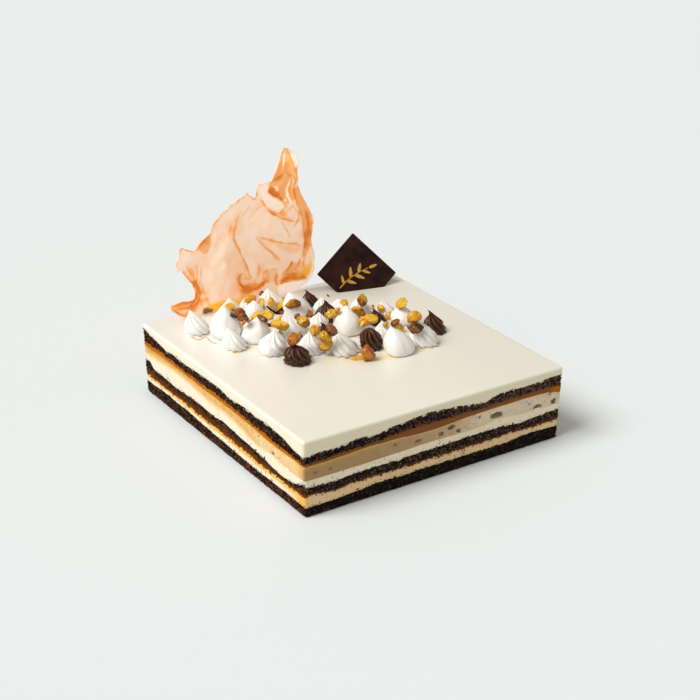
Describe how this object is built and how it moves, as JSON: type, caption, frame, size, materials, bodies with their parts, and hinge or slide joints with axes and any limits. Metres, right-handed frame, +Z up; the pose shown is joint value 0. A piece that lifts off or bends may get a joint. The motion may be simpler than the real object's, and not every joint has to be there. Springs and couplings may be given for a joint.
{
  "type": "banoffee cake",
  "caption": "Square banoffee layer cake with a glossy mousse top, piped meringue kisses, candied nuts, a tall crumpled caramel tuile and a dark chocolate plaque.",
  "frame": {"origin": "middle of the cake's underside, on the surface it stands on", "axes": "+Z up; -Y is the cut side to the right of the front corner and -X the cut side to its left; the tuile and the plaque stand at the back, towards +Y"},
  "size_m": [0.2, 0.2, 0.1584],
  "materials": {
    "chocolate_sponge": "moist open crumb, almost black",
    "whipped_cream": "soft warm white cream",
    "banana_custard": "banana and custard filling, satin",
    "soft_caramel": "glossy soft caramel",
    "white_mousse": "ivory mirror glaze",
    "meringue": "dry satin white",
    "dark_chocolate": "dark chocolate with a soft gloss",
    "roasted_nut": "syrup-coated golden nut with brown skin",
    "brown_praline": "glossy brown praline",
    "clear_caramel": "clear amber caramel",
    "caramel_tuile": "thin translucent baked sugar sheet"
  },
  "bodies": {
    "root": {"banana_filling": "banana_custard", "caramel_01": "clear_caramel", "caramel_02": "clear_caramel", "caramel_layer": "soft_caramel", "caramel_tuile": "caramel_tuile", "chocolate_plaque": "dark_chocolate", "chocolate_star_01": "dark_chocolate", "chocolate_star_02": "dark_chocolate", "chocolate_star_03": "dark_chocolate", "chocolate_star_04": "dark_chocolate", "chocolate_star_05": "dark_chocolate", "chocolate_star_06": "dark_chocolate", "chocolate_star_07": "dark_chocolate", "cream_bottom": "whipped_cream", "cream_middle": "whipped_cream", "meringue_drop_01": "meringue", "meringue_drop_02": "meringue", "meringue_drop_03": "meringue", "meringue_drop_04": "meringue", "meringue_drop_05": "meringue", "meringue_drop_06": "meringue", "meringue_drop_07": "meringue", "meringue_star_01": "meringue", "meringue_star_02": "meringue", "meringue_star_03": "meringue", "meringue_star_04": "meringue", "meringue_star_05": "meringue", "meringue_star_06": "meringue", "meringue_star_07": "meringue", "meringue_star_08": "meringue", "meringue_star_09": "meringue", "meringue_star_10": "meringue", "meringue_star_11": "meringue", "meringue_star_12": "meringue", "meringue_star_13": "meringue", "meringue_star_14": "meringue", "meringue_star_15": "meringue", "meringue_star_16": "meringue", "mousse_top": "white_mousse", "nut_01": "roasted_nut", "nut_02": "roasted_nut", "nut_03": "roasted_nut", "nut_04": "roasted_nut", "nut_05": "roasted_nut", "nut_06": "roasted_nut", "nut_07": "roasted_nut", "nut_08": "roasted_nut", "nut_09": "roasted_nut", "nut_10": "roasted_nut", "nut_11": "roasted_nut", "nut_12": "roasted_nut", "nut_13": "roasted_nut", "nut_14": "roasted_nut", "praline_01": "brown_praline", "praline_02": "brown_praline", "praline_03": "brown_praline", "praline_04": "brown_praline", "sponge_bottom": "chocolate_sponge", "sponge_middle": "chocolate_sponge", "sponge_top": "chocolate_sponge"}
  },
  "joints": []
}
